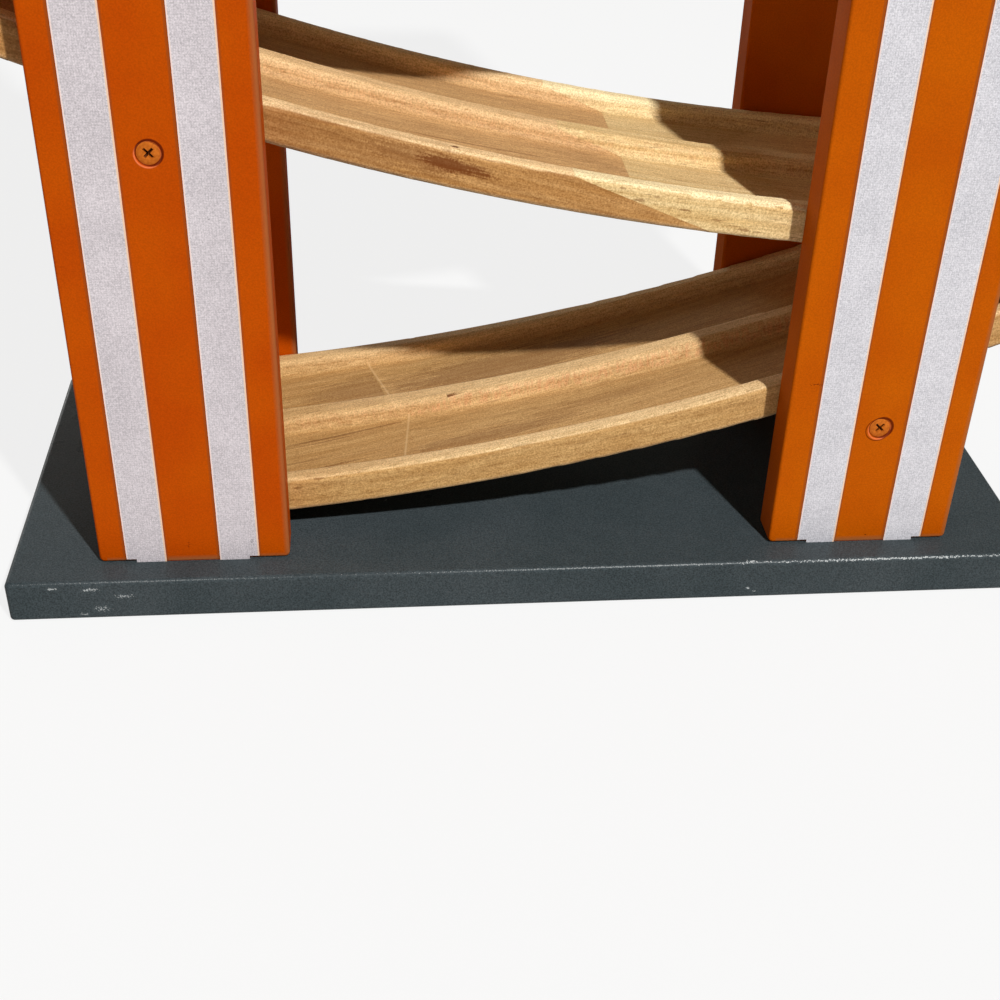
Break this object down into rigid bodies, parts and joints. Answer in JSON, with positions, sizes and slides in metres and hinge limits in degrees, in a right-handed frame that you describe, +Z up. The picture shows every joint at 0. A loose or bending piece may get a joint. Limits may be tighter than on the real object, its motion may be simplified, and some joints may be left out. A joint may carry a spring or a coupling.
{
  "type": "ramp racer toy",
  "caption": "Free-standing wooden ramp racer: curved two-lane ramps zigzag down between striped posts on a rectangular base board.",
  "frame": {"origin": "centre of the base board's underside", "axes": "+X to the right along the ramps, +Y to the back, +Z up; the front is the -Y side"},
  "size_m": [0.4166, 0.1672, 0.5],
  "materials": {
    "pine": "bare pine under a thin clear coat",
    "orange_paint": "satin orange paint on wood",
    "white_film": "matt white film with a fine weave-like grain",
    "slate_paint": "satin blue-grey paint on wood",
    "painted_screw": "steel screw painted over in orange",
    "steel_screw": "zinc plated",
    "dowel": "plain hardwood dowel"
  },
  "bodies": {
    "root": {"ramp_1_low_board": "pine", "ramp_1_high_board": "pine", "cross_rail_1": "pine", "end_stop_1": "pine", "rail_screws_1": "painted_screw", "end_stop_screws_1": "steel_screw", "low_end_dowels_1": "dowel", "ramp_2_low_board": "pine", "ramp_2_high_board": "pine", "cross_rail_2": "pine", "end_stop_2": "pine", "rail_screws_2": "painted_screw", "end_stop_screws_2": "steel_screw", "low_end_dowels_2": "dowel", "ramp_3_low_board": "pine", "ramp_3_high_board": "pine", "cross_rail_3": "pine", "end_stop_3": "pine", "rail_screws_3": "painted_screw", "end_stop_screws_3": "steel_screw", "low_end_dowels_3": "dowel", "ramp_4_low_board": "pine", "ramp_4_high_board": "pine", "cross_rail_4": "pine", "end_stop_4": "pine", "rail_screws_4": "painted_screw", "end_stop_screws_4": "steel_screw", "low_end_dowels_4": "dowel", "post_front_left": "orange_paint", "stripes_front_left": "white_film", "base_screws_front_left": "steel_screw", "post_front_right": "orange_paint", "stripes_front_right": "white_film", "base_screws_front_right": "steel_screw", "post_rear_left": "orange_paint", "stripes_rear_left": "white_film", "base_screws_rear_left": "steel_screw", "post_rear_right": "orange_paint", "stripes_rear_right": "white_film", "base_screws_rear_right": "steel_screw", "base_board": "slate_paint"}
  },
  "joints": []
}
